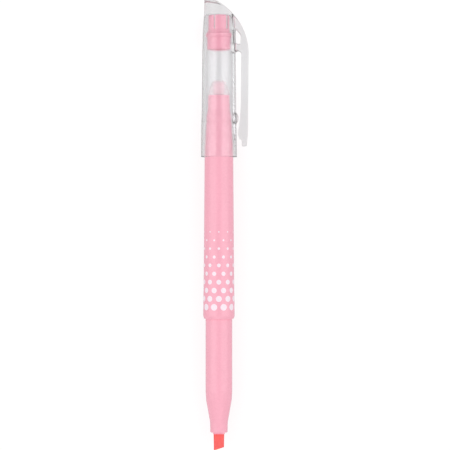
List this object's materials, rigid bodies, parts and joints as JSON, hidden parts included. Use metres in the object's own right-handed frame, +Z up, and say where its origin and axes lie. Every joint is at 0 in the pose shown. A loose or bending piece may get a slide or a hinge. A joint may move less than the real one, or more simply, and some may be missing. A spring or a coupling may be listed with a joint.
{
  "type": "highlighter pen",
  "caption": "Slim chisel-nib highlighter with an eraser tail and a clear clipped cap posted on its rear.",
  "frame": {"origin": "on the pen's axis, in the plane of the barrel's shoulder, where the front section begins", "axes": "-Y along the front section towards the nib, +Y towards the posted cap, +X towards the clip, +Z up"},
  "size_m": [0.016, 0.152, 0.012],
  "materials": {
    "barrel_pink": "satin moulded, with a pale printed pattern",
    "section_pink": "satin moulded",
    "nib_coral": "porous fibre, soaked with ink",
    "ink_fibre": "pressed fibre",
    "film_clear": "thin clear film",
    "plug_pink": "moulded",
    "eraser_rubber": "pale translucent rubber",
    "cap_clear": "clear polished",
    "inner_cap_pink": "moulded"
  },
  "bodies": {
    "pen": {"barrel": "barrel_pink", "front_section": "section_pink", "nib": "nib_coral", "ink_reservoir": "ink_fibre", "reservoir_film": "film_clear", "tail_plug": "plug_pink", "eraser": "eraser_rubber"},
    "cap": {"cap_shell": "cap_clear", "inner_cap": "inner_cap_pink"},
    "clip_arm": {"clip": "cap_clear"}
  },
  "joints": [
    {"name": "cap_pull", "type": "slide", "parent": "pen", "child": "cap", "axis": [0, 1, 0], "range_m": [0, 0.035]},
    {"name": "clip_flex", "type": "hinge", "parent": "cap", "child": "clip_arm", "pos_m": [0.00875, 0.088, 0], "axis": [0, 0, 1], "range_deg": [0, 5], "stiffness_Nm_per_rad": 1}
  ]
}
